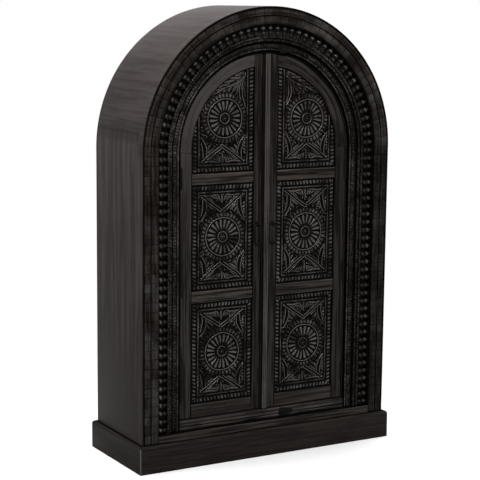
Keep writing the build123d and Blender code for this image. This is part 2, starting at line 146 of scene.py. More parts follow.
def woodFinish(name, look):
    finish, tree, shader = newFinish(name)
    place = makeNode(tree, "ShaderNodeTexCoord", output="Object")
    axes = makeNode(tree, "ShaderNodeSeparateXYZ", {0: place})
    x, y, z = (axes.other(axis) for axis in "XYZ")

    def noise(kind, vector, scale=1.0):
        size, detail, roughness, distortion = wood[kind]
        return makeNode(tree, "ShaderNodeTexNoise", {"Vector": vector, "Scale": size * scale, "Detail": detail,
                                                     "Roughness": roughness, "Distortion": distortion})

    def nearSeam(drop, reach):
        return 1.0 - abs(z - (seamZ - drop * mm)).ramp(*(length * mm for length in reach))

    if "bentGrain" in look:  # measured out from the middle, in depth, and on up the jambs and round the arch
        outward, inDepth, onward = look["bentGrain"]
        rise = z.maths("MAXIMUM", z - springZ, 0.0)
        reach = (x * x + rise * rise) ** 0.5
        turn = z.maths("ARCTAN2", rise, abs(x))
        along = z.maths("MINIMUM", z, springZ) + turn * bandInner
        stretched = makeNode(tree, "ShaderNodeCombineXYZ", {0: reach * outward, 1: y * inDepth, 2: along * onward})
    else:
        stretched = makeNode(tree, "ShaderNodeMapping", {"Vector": place, "Scale": look["grainScale"]})
    grain, pores = noise("grain", stretched), noise("pores", stretched)
    cloud, scuffs = noise("cloud", place, look["cloudScale"]), noise("scuffs", place)
    rub, tone = (makeNode(tree, "ShaderNodeAttribute", output="Fac", attribute_name=layer)
                 for layer in ("rub", "tone"))
    # the layer's level runs from the deep colour, painted shade, through the stain to the rubbed colour, wear with
    # painted highlight
    level = rub + look["bias"] + tone * wood["toneShare"]
    streaks = grain.ramp(*wood["grainBand"]) * look["grainShare"] + (cloud - 0.5) * 0.5
    if "paleAbove" in look:  # paler towards the top, as painted light from above
        streaks = streaks + z.ramp(*look["paleAbove"]) * wood["paleShare"]
    if "shadeBelow" in look:  # darker towards the floor: painted shade, with some staining
        streaks = streaks + (z.ramp(*look["shadeBelow"]) - 1.0) * wood["shadeShare"]
    if "dirtySeam" in look:
        drop, reach, share = wood["seamLine"]
        level = level - nearSeam(drop, reach) * share - nearSeam(*wood["seamShade"]) * look["dirtySeam"]
    if "wornCorner" in look:  # knocked along the upright corners
        level = level + (abs(x) + abs(y)).ramp(*look["wornCorner"]) * wood["cornerWear"]
    body = mixColour(tree, streaks.limit(), look["dark"], look["stain"])
    body = mixColour(tree, level.ramp(*wood["stainBand"]), look["deep"], body)
    patchy = (scuffs - 0.5) * look["scuffShare"] + (cloud - 0.5) * 0.8 + (grain - 0.5) * 0.5
    worn = (level + patchy).ramp(*wood["wearBand"])
    colour = mixColour(tree, worn * look["rubShare"], body, look["rubbed"])
    colour = mixColour(tree, pores.ramp(*wood["poreBand"]) * look["specks"], colour, look["rubbed"])
    bump = makeNode(tree, "ShaderNodeBump", {"Height": grain * 0.5 + pores * 0.35 + scuffs * 0.3,
                                             "Distance": look["bump"] * mm, "Strength": 0.8})
    roughness = look["roughness"] + (grain - 0.5) * 0.22 + (cloud - 0.5) * 0.16
    fillSockets(tree, shader, {
        "Base Color": colour, "Roughness": roughness.limit(), "Specular IOR Level": look["sheen"],
        "Coat Weight": worn * look["glint"], "Coat Roughness": wood["coatRoughness"], "Normal": bump})
    return finish


iron = {"black": (0.0028, 0.0026, 0.0025, 1), "brown": (0.0080, 0.0058, 0.0045, 1), "roughness": 0.50,
        "sheen": 0.05, "blotchScale": 60.0, "hammerScale": 260.0, "bump": 0.4}


def ironFinish(name):
    finish, tree, shader = newFinish(name)
    place = makeNode(tree, "ShaderNodeTexCoord", output="Object")
    blotch = makeNode(tree, "ShaderNodeTexNoise", {"Vector": place, "Scale": iron["blotchScale"], "Detail": 5.0})
    hammer = makeNode(tree, "ShaderNodeTexVoronoi", {"Vector": place, "Scale": iron["hammerScale"]})
    bump = makeNode(tree, "ShaderNodeBump", {"Height": hammer + blotch * 0.5, "Distance": iron["bump"] * mm,
                                             "Strength": 0.6})
    fillSockets(tree, shader, {
        "Base Color": mixColour(tree, blotch.ramp(0.45, 0.7), iron["black"], iron["brown"]),
        "Roughness": (iron["roughness"] + (blotch - 0.5) * 0.3).limit(), "Metallic": 0.0,
        "Specular IOR Level": iron["sheen"], "Normal": bump})
    return finish


looks = {"carved": {  # colours from the deepest cut to the most handled edge; the deep one also paints shade in the cuts, the rubbed one also paints highlight on the crests
    "deep": (0.0019, 0.0013, 0.0010, 1), "dark": (0.0062, 0.0046, 0.0037, 1),
    "stain": (0.0150, 0.0119, 0.0098, 1), "rubbed": (0.080, 0.071, 0.064, 1),
    "grainScale": (70, 70, 6), "cloudScale": 9.0, "grainShare": 0.9, "bias": 0.0, "rubShare": 0.62,
    "specks": 0.10, "roughness": 0.46, "sheen": 0.02, "glint": 0.70, "bump": 0.34, "scuffShare": 0.5,
}}


def addLook(name, base, **changes):
    looks[name] = dict(looks[base], **changes)


plinthCorner = skirtingHigh.x - skirtingLow.y
addLook("turned", "carved", roughness=0.36, sheen=0.08, rubShare=0.75)
addLook("mould", "carved", grainScale=(75, 75, 75), grainShare=0.6, stain=(0.0220, 0.0180, 0.0153, 1),
        scuffShare=1.1)
addLook("brick", "carved", bentGrain=(80, 80, 6), stain=(0.0200, 0.0163, 0.0140, 1), rubShare=0.30, bias=0.06,
        specks=0.24, glint=0.4)
# a darker copy for the right jamb's bricks: painted shade
addLook("shadedBrick", "brick", dark=(0.0044, 0.0034, 0.0028, 1), stain=(0.0125, 0.0108, 0.0100, 1),
        scuffShare=0.9, glint=0.1)
addLook("upright", "carved", grainScale=(110, 110, 3.6), cloudScale=6.0, bias=0.38, rubShare=0.52, specks=0.24,
        dark=(0.0034, 0.0024, 0.0020, 1), stain=(0.0300, 0.0250, 0.0222, 1), sheen=0.05, glint=0.5, bump=0.26)
# the left leaf's hinge stile and arched rail: paler copies as painted sheen, paler still towards the top
addLook("paleStile", "upright", stain=(0.0400, 0.0345, 0.0325, 1), paleAbove=(0.70, 1.30))
addLook("arch", "upright", bentGrain=(95, 95, 3.6), stain=(0.0360, 0.0305, 0.0275, 1))
addLook("paleArch", "arch", stain=(0.0480, 0.0425, 0.0405, 1), grainShare=0.6, paleAbove=(0.70, 1.30))
# painted shade for flanks, rims and ledges in gaps and under steps
addLook("reveal", "upright", bias=-0.10, rubShare=0.1, specks=0.0, sheen=0.01, glint=0.0)
addLook("level", "upright", grainScale=(3.6, 110, 110), stain=(0.0470, 0.0385, 0.0330, 1), bias=0.42)
# painted highlight, with wear, along the eased edges of the upper and lower rails
addLook("edge", "level", bias=0.75, rubShare=0.75)
addLook("pale", "level", stain=(0.060, 0.050, 0.042, 1), bias=0.50)
addLook("lowRail", "level", dark=(0.0110, 0.0090, 0.0077, 1))
addLook("plinth", "level", wornCorner=(plinthCorner - 5.5 * mm, plinthCorner - 1.5 * mm),
        grainScale=(5, 120, 120), grainShare=0.6, specks=0.3, bias=0.38,
        dark=(0.0085, 0.0066, 0.0057, 1), stain=(0.0275, 0.0225, 0.0195, 1))
addLook("plinthSide", "plinth", grainScale=(120, 5, 120), stain=(0.0190, 0.0155, 0.0145, 1), sheen=0.02)
addLook("side", "upright", bentGrain=(48, 48, 1.8), shadeBelow=(0.05, 0.80), grainShare=0.34, cloudScale=3.5,
        bias=0.30, rubShare=0.30, specks=0.10, deep=(0.010, 0.008, 0.0078, 1), dark=(0.0215, 0.0174, 0.0170, 1),
        stain=(0.0750, 0.0650, 0.0635, 1), roughness=0.42, sheen=0.015, glint=0.0, bump=0.16, dirtySeam=0.115)
# paler towards the top as painted light from above
addLook("bentTop", "side", bentGrain=(48, 2.2, 42), stain=(0.0605, 0.0525, 0.0512, 1), paleAbove=(1.50, 1.80))
addLook("inside", "side", stain=(0.0300, 0.0248, 0.0240, 1), roughness=0.62)
finishes = {name: woodFinish(name + "Stain", look) for name, look in looks.items()}
finishes["iron"] = ironFinish("blackIron")
print("finishes made:", len(finishes))


def addObject(name, data):
    made = bpy.data.objects.new(name, data)
    scene.collection.objects.link(made)
    return made


def dress(mesh, names):
    picked = [face.material_index for face in mesh.polygons]  # clearing the slots would forget these
    mesh.materials.clear()
    for name in names:
        mesh.materials.append(finishes[name])
    mesh.polygons.foreach_set("material_index", [min(index, len(names) - 1) for index in picked])


def addPiece(name, mesh, materials, body="cabinet", replaced=()):
    piece = addObject(name, mesh)
    dress(mesh, materials)
    if replaced:
        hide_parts(*replaced)
    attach(piece, body)


def smoothMesh(mesh, angle):
    mesh.polygons.foreach_set("use_smooth", [True] * len(mesh.polygons))
    mesh.set_sharp_from_angle(angle=math.radians(angle))


def bakeMesh(holder):  # its mesh with the modifiers applied; the holder itself goes
    view = bpy.context.evaluated_depsgraph_get()
    baked = bpy.data.meshes.new_from_object(holder.evaluated_get(view))
    bpy.data.objects.remove(holder)
    return baked


def addModifier(holder, kind, **settings):
    modifier = holder.modifiers.new(kind.lower(), kind)
    for name, value in settings.items():
        setattr(modifier, name, value)
    return modifier


# the wear of each point, which also paints light and shade into the finish
def wearLightLayer(mesh, values):
    layer = mesh.attributes.new("rub", "FLOAT", "POINT")
    layer.data.foreach_set("value", np.asarray(values, dtype=np.float32).ravel())


def ringMesh(name, rings, worn=None, angle=40):
    # a closed skin over rings of points, with flat ends; the third argument holds the wear and painted light of
    # each point
    size = len(rings[0])
    points = [point for ring in rings for point in ring]
    faces = [tuple(range(size)), tuple(range(len(points) - size, len(points)))]
    for start in range(0, len(points) - size, size):
        for index in range(size):
            beside = (index + 1) % size
            faces.append((start + index, start + beside, start + size + beside, start + size + index))
    mesh = bpy.data.meshes.new(name)
    mesh.from_pydata(points, [], faces)
    if worn is not None:
        wearLightLayer(mesh, worn)
    form = bmesh.new()
    form.from_mesh(mesh)
    bmesh.ops.recalc_face_normals(form, faces=form.faces)
    form.to_mesh(mesh)
    form.free()
    smoothMesh(mesh, angle)
    return mesh


def blurred(values, reach, passes=2):  # a running mean over both axes, with the rim values repeated outwards
    size = 2 * reach + 1
    for axis in (0, 1) * passes:
        margins = [(reach + 1, reach) if axis == way else (0, 0) for way in (0, 1)]
        total = np.cumsum(np.pad(values, margins, "edge"), axis)
        count = values.shape[axis]
        values = (total.take(range(size, size + count), axis) - total.take(range(count), axis)) / size
    return values


easing = {"bevelFrom": 35, "bevelTo": 120, "merge": 0.01 * mm, "flat": 0.6, "hold": 0.02 * mm}


def easedCopy(node, look, bevel, name="", body="cabinet", wornEdge=None, darkWhere=None):
    # a CAD board with its edges eased, and worn along them, with painted highlight where a lit edge look is given;
    # the faces picked for shade take a darker stain as painted shade
    name = name or "".join(word.capitalize() for word in node.replace("_door", "").split("_"))
    name = name[0].lower() + name[1:]
    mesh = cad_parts[node].data.copy()
    form = bmesh.new()
    form.from_mesh(mesh)
    bmesh.ops.remove_doubles(form, verts=form.verts, dist=easing["merge"])
    bmesh.ops.dissolve_limit(form, angle_limit=math.radians(easing["flat"]), verts=form.verts, edges=form.edges)
    weights = form.edges.layers.float.new("bevel_weight_edge")
    for edge in form.edges:  # a mitre's thin tip stays whole
        turn = math.degrees(edge.calc_face_angle(0.0))
        edge[weights] = float(easing["bevelFrom"] < turn < easing["bevelTo"])
        edge.smooth = turn < easing["bevelTo"]
    form.to_mesh(mesh)
    form.free()
    materials = [look, wornEdge or look]
    dress(mesh, materials)
    mesh.polygons.foreach_set("use_smooth", [True] * len(mesh.polygons))
    rough = addObject(name + "Rough", mesh)
    addModifier(rough, "BEVEL", width=bevel * mm, segments=2, limit_method="WEIGHT", material=1)
    addModifier(rough, "WEIGHTED_NORMAL", keep_sharp=True)
    finished = bakeMesh(rough)
    corners = np.zeros(len(finished.vertices) * 3, np.float32)
    finished.vertices.foreach_get("co", corners)
    low, high = (np.array(corner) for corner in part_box(node))
    held = np.clip(corners.reshape(-1, 3), low + easing["hold"], high - easing["hold"])
    finished.vertices.foreach_set("co", held.ravel().astype(np.float32))
    finished.update()
    if darkWhere:
        materials.append("reveal")
        for face in finished.polygons:
            if darkWhere(node, face):
                face.material_index = 2
    addPiece(name, finished, materials, body, [node])


def jambRoute(side, low, high, steps):
    return [((0.0, z), (float(side), 0.0)) for z in np.linspace(low, high, steps)]


def archRoute(start, end, steps):  # angles in degrees, 180 at the left springing
    turns = np.radians(np.linspace(start, end, steps))
    return [((0.0, springZ), (math.cos(turn), math.sin(turn))) for turn in turns]


def frameRoute(word, foot, count=0):
    # up the left jamb, round the arch or down the right jamb; a count stops it at the middles of the end copies
    half = 0.5 / count if count else 0.0
    if word == "arch":
        return archRoute(180 * (1 - half), 180 * half, 240 if count else 160)
    low, high = foot + (springZ - foot) * half, springZ - (springZ - foot) * half
    steps = 2 if count else 10
    return jambRoute(-1, low, high, steps) if word == "left" else jambRoute(1, high, low, steps)


def frameRun(word, foot, reach):  # the length of that route
    return math.pi * reach if word == "arch" else springZ - foot


def routePoint(stop, reach, y):
    (x, z), (dx, dz) = stop
    return (x + reach * dx, y, z + reach * dz)


def sweptMesh(name, outline, route, rub=None):
    # a closed board: the outline of (reach, y) points is carried along the route
    rings = [[routePoint(stop, reach, y) for reach, y in outline] for stop in route]
    return ringMesh(name, rings, None if rub is None else list(rub) * len(rings))


def roundCorners(points, radius, steps=3):  # of a closed outline
    rounded = []
    for index, point in enumerate(points):
        corner = np.array(point, float)
        before = np.array(points[index - 1], float) - corner
        after = np.array(points[(index + 1) % len(points)], float) - corner
        reach = min(radius, 0.45 * np.hypot(*before), 0.45 * np.hypot(*after))
        start = corner + before / np.hypot(*before) * reach
        end = corner + after / np.hypot(*after) * reach
        for t in np.linspace(0, 1, steps + 1):
            rounded.append(tuple((1 - t) ** 2 * start + 2 * t * (1 - t) * corner + t ** 2 * end))
    return rounded


def cornerWearLight(outline, base, edge):
    # worn on its crests, and most where the outline turns outwards, with painted highlight there; dark down its
    # cuts as painted shade
    shape = np.array(outline)
    before, after = np.roll(shape, 1, 0), np.roll(shape, -1, 0)
    inward = (before[:, 0] - shape[:, 0]) * (after[:, 1] - shape[:, 1])
    inward -= (before[:, 1] - shape[:, 1]) * (after[:, 0] - shape[:, 0])
    across = np.hypot(*(before - shape).T) * np.hypot(*(after - shape).T)
    area = np.sum(shape[:, 0] * after[:, 1] - after[:, 0] * shape[:, 1])
    turning = np.clip(inward / across, -1, 1) * np.sign(area)
    near = np.abs(shape[:, 0][:, None] - shape[:, 0][None, :]) < 6.5 * mm
    crest = np.where(near, shape[:, 1][None, :], 1e6).min(1)
    fall = (shape[:, 1] - crest) / mm
    return base * np.exp(-(fall / 1.6) ** 2) + edge * np.clip(-turning * 2.5, 0, 1) * (fall < 1.0)


def rowTree():  # copies of a pattern along a line, each a little off in size, turn and place
    tree = bpy.data.node_groups.new("rowAlongRoute", "GeometryNodeTree")
    inputs = {"Geometry": "Geometry", "Pattern": "Object", "Count": "Int", "Size Spread": "Vector",
              "Turn Spread": "Float", "Shift Spread": "Vector", "Seed": "Int", "Finish": "Material"}
    for name, kind in inputs.items():
        tree.interface.new_socket(name=name, in_out="INPUT", socket_type="NodeSocket" + kind)
    tree.interface.new_socket(name="Geometry", in_out="OUTPUT", socket_type="NodeSocketGeometry")
    given = makeNode(tree, "NodeGroupInput").other

    def spread(amount, seedStep):  # random vector between -amount and amount
        low = makeNode(tree, "ShaderNodeVectorMath", {0: amount, "Scale": -1.0}, operation="SCALE")
        return makeNode(tree, "FunctionNodeRandomValue",
                        {"Min": low, "Max": amount, "Seed": given("Seed") + seedStep}, data_type="FLOAT_VECTOR")

    curve = makeNode(tree, "GeometryNodeMeshToCurve", {"Mesh": given("Geometry")})
    spots = makeNode(tree, "GeometryNodeCurveToPoints", {"Curve": curve, "Count": given("Count")}, mode="COUNT")
    facing = makeNode(tree, "FunctionNodeAlignRotationToVector", {"Vector": spots.other("Tangent")},
                      axis="X", pivot_axis="Y")
    turnAmount = makeNode(tree, "ShaderNodeCombineXYZ", {axis: given("Turn Spread") for axis in range(3)})
    wobble = makeNode(tree, "FunctionNodeEulerToRotation", {0: spread(turnAmount, 1)})
    turned = makeNode(tree, "FunctionNodeRotateRotation", {"Rotation": facing, "Rotate By": wobble},
                      rotation_space="LOCAL")
    size = makeNode(tree, "ShaderNodeVectorMath", {0: spread(given("Size Spread"), 2), 1: (1.0, 1.0, 1.0)},
                    operation="ADD")
    shifted = makeNode(tree, "GeometryNodeSetPosition",
                       {"Geometry": spots, "Offset": spread(given("Shift Spread"), 3)})
    pattern = makeNode(tree, "GeometryNodeObjectInfo", {"Object": given("Pattern")}, output="Geometry",
                       transform_space="ORIGINAL")
    placed = makeNode(tree, "GeometryNodeInstanceOnPoints",
                      {"Points": shifted, "Instance": pattern, "Rotation": turned, "Scale": size})
    shade = makeNode(tree, "FunctionNodeRandomValue", {"Seed": given("Seed")}, output=1, data_type="FLOAT")
    toned = makeNode(tree, "GeometryNodeStoreNamedAttribute",
                     {"Geometry": placed, "Name": "tone", "Value": shade * 2.0 - 1.0},
                     data_type="FLOAT", domain="INSTANCE")
    solid = makeNode(tree, "GeometryNodeRealizeInstances", {0: toned})
    dressed = makeNode(tree, "GeometryNodeSetMaterial", {"Geometry": solid, "Material": given("Finish")})
    makeNode(tree, "NodeGroupOutput", {0: dressed})
    return tree


rowGroup = rowTree()
rowInputs = {item.name: item.identifier for item in rowGroup.interface.items_tree if item.in_out == "INPUT"}


def rowMesh(route, reach, y, pattern, count, row, finish):
    # the pattern's x runs along the route and its z points outwards
    points = [routePoint(stop, reach, y) for stop in route]
    mesh = bpy.data.meshes.new("routeLine")
    mesh.from_pydata(points, [(index, index + 1) for index in range(len(points) - 1)], [])
    line = addObject("routeLine", mesh)
    sample = addObject(pattern.name, pattern)
    modifier = addModifier(line, "NODES", node_group=rowGroup)
    values = {"Pattern": sample, "Count": count, "Size Spread": row["sizeSpread"],
              "Turn Spread": math.radians(row["turnSpread"]), "Shift Spread": row["shiftSpread"],
              "Seed": row["seed"], "Finish": finishes[finish]}
    for name, value in values.items():
        modifier[rowInputs[name]] = value
    line.update_tag()
    made = bakeMesh(line)
    bpy.data.objects.remove(sample)
    return made


def blockMesh(name, size, ease, rubFace, rubEdge):
    # a hand-cut block with eased edges, worn a little along its front edges
    form = bmesh.new()
    bmesh.ops.create_cube(form, size=1.0)
    bmesh.ops.scale(form, vec=Vector(size), verts=form.verts)
    front = [edge for edge in form.edges if max(v.co.y for v in edge.verts) < 0 or
             abs(edge.verts[0].co.y - edge.verts[1].co.y) > 1e-6]
    bmesh.ops.bevel(form, geom=front, offset=ease, segments=2, profile=0.6, affect="EDGES")
    mesh = bpy.data.meshes.new(name)
    form.to_mesh(mesh)
    form.free()
    half = Vector(size) / 2
    worn = []
    for vertex in mesh.vertices:
        nearEdge = max(abs(vertex.co.x) / half.x, abs(vertex.co.z) / half.z)
        front = vertex.co.y < -half.y + 0.6 * ease
        worn.append(rubFace + rubEdge * nearEdge ** 6 if front else 0.05)
    wearLightLayer(mesh, worn)
    smoothMesh(mesh, 50)
    return mesh


carcass = {"edgeEase": 1.5 * mm, "seamGap": 0.08 * mm, "inset": 0.18 * mm, "skirtingEase": 3.2, "sillEase": 2.0}
sideFace = outerEdge - carcass["inset"]
sideOutline = roundCorners([(innerEdge, layerBackY), (sideFace, layerBackY),
                            (sideFace, sideHigh.y), (innerEdge, sideHigh.y)], carcass["edgeEase"])
seamTurn = math.degrees(math.asin((seamZ - springZ) / outerEdge))
seamPlay = math.degrees(carcass["seamGap"] / outerEdge)


def onShadedLedge(node, face):  # a flat ledge at the foot of what rises behind it, darkened as painted shade
    return face.material_index == 0 and face.normal.z > 0.9


for side, word in ((-1, "left"), (1, "right")):
    turnFrom = 180.0 if side < 0 else 0.0
    bend = archRoute(turnFrom, turnFrom + side * (seamTurn - seamPlay), 9)
    mesh = sweptMesh(word + "SideBoard", sideOutline, jambRoute(side, 0.0, springZ, 14) + bend[1:])
    addPiece(word + "SideBoard", mesh, ["side"], replaced=[word + "_side_board"])

mesh = sweptMesh("bentTopBoard", sideOutline, archRoute(180 - seamTurn - seamPlay, seamTurn + seamPlay, 140))
addPiece("bentTopBoard", mesh, ["bentTop"], replaced=["bent_top_board"])
for word, look in (("front", "plinth"), ("back", "plinth"), ("left", "plinthSide"), ("right", "plinthSide")):
    easedCopy(word + "_skirting", look, carcass["skirtingEase"], darkWhere=onShadedLedge)
easedCopy("sill", "level", carcass["sillEase"], "sillBoard", darkWhere=onShadedLedge)
print("carcass done")


bricks = {
    "jointDepth": 4.2 * mm, "bandJoint": 5.0 * mm, "courseJoint": 1.7 * mm, "cornerRound": 3.0 * mm,
    "edgeMargin": 7.5 * mm, "innerShare": 0.54, "ease": 1.1 * mm, "thickness": 5.6 * mm, "length": 38.4 * mm,
    "behindFace": 0.35 * mm, "rub": (0.43, 0.26),
    "sizeSpread": (0.018, 0.05, 0.02), "turnSpread": 0.6, "shiftSpread": (0.0, 0.30 * mm, 0.0), "seed": 11,
}
bandsOuter = outerEdge - bricks["edgeMargin"]
bandSplit = bandInner + bricks["innerShare"] * (bandsOuter - bandInner)
bandEdges = {"Inner": (bandInner, bandSplit), "Outer": (bandSplit, bandsOuter)}
jointY = frontY + bricks["jointDepth"]
boardOutline = [(bandInner, layerBackY), (bandInner, jointY), (bandsOuter + 2.4 * mm, jointY + 1.0 * mm),
                (bandsOuter + 3.4 * mm, frontY + 0.4 * mm)]
boardOutline += [(sideFace - bricks["cornerRound"] * (1 - math.sin(turn)),
                  frontY + 0.3 * mm + bricks["cornerRound"] * (1 - math.cos(turn)))
                 for turn in np.linspace(0, math.pi / 2, 5)]
boardOutline.append((sideFace, layerBackY))
# a light line along the outer corner as wear and painted highlight; the face behind the bricks and the back stay
# dark
boardWearLight = [0.02 if y > frontY + 3.5 * mm or reach < bandsOuter + 3 * mm
            else 0.30 if reach > sideFace - 2.0 * mm else 0.08 for reach, y in boardOutline]


def onFlank(mesh, face):  # stained like the side and the top
    corners = (mesh.vertices[corner].co for corner in face.vertices)
    return all(math.hypot(place.x, max(place.z - springZ, 0)) > sideFace - 0.05 * mm for place in corners)


for order, word in enumerate(("left", "arch", "right")):
    look = "shadedBrick" if word == "right" else "brick"
    board = sweptMesh(word + "BrickBoard", boardOutline, frameRoute(word, 0.0), boardWearLight)
    for face in board.polygons:
        face.material_index = int(onFlank(board, face))
    addPiece(word + "BrickBoard", board, [look, "bentTop" if word == "arch" else "side"],
             replaced=[word + "_brick_board"])
    courses = round(frameRun(word, skirtingHigh.z, bandSplit) / bricks["length"])
    for step, (band, (low, high)) in enumerate(bandEdges.items()):
        reach = (low + high) / 2
        size = (frameRun(word, skirtingHigh.z, reach) / courses - bricks["courseJoint"],
                bricks["thickness"], high - low - bricks["bandJoint"])
        brick = blockMesh("brick", size, bricks["ease"], *bricks["rub"])
        row = rowMesh(frameRoute(word, skirtingHigh.z, courses), reach,
                      frontY + bricks["thickness"] / 2 + bricks["behindFace"], brick, courses,
                      dict(bricks, seed=bricks["seed"] + 2 * order + step), look)
        addPiece(f"{word}Bricks{band}", row, [look])
    print("brickwork laid:", word, courses, "courses")


spindles = {
    "sides": 14, "sizeSpread": (0.03, 0.03, 0.0), "turnSpread": 0.0, "shiftSpread": (0.0, 0.0, 0.0),
    "seed": 31, "pitch": 33.4 * mm,
    # share of the length, then radius in millimetres, from the bead side outwards
    "profile": ((0.0, 5.5), (0.05, 5.6), (0.078, 4.0), (0.12, 4.6), (0.19, 7.6), (0.275, 8.6), (0.36, 7.6),
                (0.43, 4.6), (0.475, 3.8), (0.52, 5.0), (0.60, 8.4), (0.70, 9.5), (0.80, 8.4), (0.875, 5.0),
                (0.92, 4.0), (0.95, 5.6), (1.0, 5.5)),
}


def spindleMesh():
    length = spindleHigh.x - spindleLow.x
    turns = np.linspace(0, 2 * math.pi, spindles["sides"], endpoint=False)
    rings = [[(radius * mm * math.cos(turn), radius * mm * math.sin(turn), (share - 0.5) * length)
              for turn in turns] for share, radius in spindles["profile"]]
    # lighter on the swells as painted highlight and wear, darker in the necks as painted shade
    worn = [0.06 + max(0.0, (radius - 5.6) / 3.9) ** 1.6 * 0.85
            for share, radius in spindles["profile"] for turn in turns]
    return ringMesh("spindle", rings, worn, 60)


spindle = spindleMesh()
spindleReach = (spindleLow.x + spindleHigh.x) / 2
for word in ("left", "arch", "right"):
    count = round(frameRun(word, sillTop, spindleReach) / spindles["pitch"])
    row = rowMesh(frameRoute(word, sillTop, count), spindleReach, (spindleLow.y + spindleHigh.y) / 2, spindle,
                  count, spindles, "turned")
    addPiece(word + "Spindles", row, ["turned"], replaced=[word + "_spindles"])
    print("spindles set:", word, count)


beadY, outerStepY, innerStepY = mouldLow.y, mouldLow.y + 5 * mm, stepLow.y
moulding = {
    "sizeSpread": (0.07, 0.05, 0.03), "turnSpread": 1.6, "shiftSpread": (0.0, 0.15 * mm, 0.0), "seed": 57,
    "tickJoint": 3.2 * mm, "tickEase": 1.1 * mm, "tickRub": (0.42, 0.46), "rub": (0.40, 0.38),
    "reedRub": (0.10, 0.36),
    # reach in from the bead's outer edge, and depth behind the bead's face, both in millimetres
    "profile": ((0.0, 2.8), (1.4, 1.4), (6.6, 1.4), (8.0, 3.0), (8.4, 9.4), (9.8, 9.4), (10.2, 6.9), (18.6, 6.9),
                (19.6, 8.6), (20.6, 15.5), (22.4, 22.5), (25.0, 22.5), (26.0, 17.4), (27.6, 17.4), (28.4, 21.5),
                (30.6, 21.5), (31.2, 18.6), (45.4, 18.6), (46.2, 22.5), (48.4, 22.5), (49.2, 17.4), (50.4, 16.6),
                (54.8, 16.6), (56.0, 17.6), (57.0, 25.0), (58.8, 28.5), (65.0, 28.5)),
    # reach in from the bead's outer edge, width across, middle's depth, thickness, pitch
    "ticks": {"Bead": (4.0 * mm, 6.8 * mm, beadY + 1.9 * mm, 3.6 * mm, 11.5 * mm),
              "Rail": (14.4 * mm, 8.6 * mm, outerStepY + 2.2 * mm, 4.0 * mm, 11.5 * mm),
              "Step": (38.3 * mm, 13.6 * mm, innerStepY + 2.4 * mm, 4.4 * mm, 12.4 * mm)},
    # share of the height, and depth behind the face in millimetres, of the plain reeds under the leaves
    "reeds": ((0.0, 0.9), (0.07, 0.1), (0.24, 0.1), (0.29, 2.6), (0.37, 2.6), (0.42, 0.2), (0.60, 0.2),
              (0.66, 2.8), (0.74, 2.8), (0.79, 0.1), (0.93, 0.1), (1.0, 0.9)),
}
mouldOutline = [(mouldHigh.x, layerBackY)]
mouldOutline += [(mouldHigh.x - reach * mm, beadY + depth * mm) for reach, depth in moulding["profile"]]
mouldOutline = roundCorners(mouldOutline + [(mouldLow.x, layerBackY)], 0.5 * mm, 1)
for order, word in enumerate(("left", "arch", "right")):
    board = sweptMesh(word + "Moulding", mouldOutline, frameRoute(word, sillTop),
                      cornerWearLight(mouldOutline, *moulding["rub"]))
    addPiece(word + "Moulding", board, ["mould"], replaced=[word + "_moulding"])
    for place, (inset, width, y, thickness, pitch) in moulding["ticks"].items():
        reach = mouldHigh.x - inset
        run = frameRun(word, sillTop, reach)
        count = round(run / pitch)
        tick = blockMesh("tick", (run / count - moulding["tickJoint"], thickness, width), moulding["tickEase"],
                         *moulding["tickRub"])
        row = rowMesh(frameRoute(word, sillTop, count), reach, y, tick, count,
                      dict(moulding, seed=moulding["seed"] + order), "mould")
        addPiece(f"{word}{place}Ticks", row, ["mould"])

height = stepHigh.z - stepLow.z
reedOutline = [(stepLow.z, stepHigh.y)]
reedOutline += [(stepLow.z + share * height, innerStepY + drop * mm) for share, drop in moulding["reeds"]]
reedOutline = roundCorners(reedOutline + [(stepHigh.z, stepHigh.y)], 0.9 * mm, 2)
level = [((x, 0.0), (0.0, 1.0)) for x in np.linspace(stepLow.x, stepHigh.x, 8)]
mesh = sweptMesh("bottomMoulding", reedOutline, level, cornerWearLight(reedOutline, *moulding["reedRub"]))
addPiece("bottomMoulding", mesh, ["level"], replaced=["bottom_moulding"])
print("mouldings done")


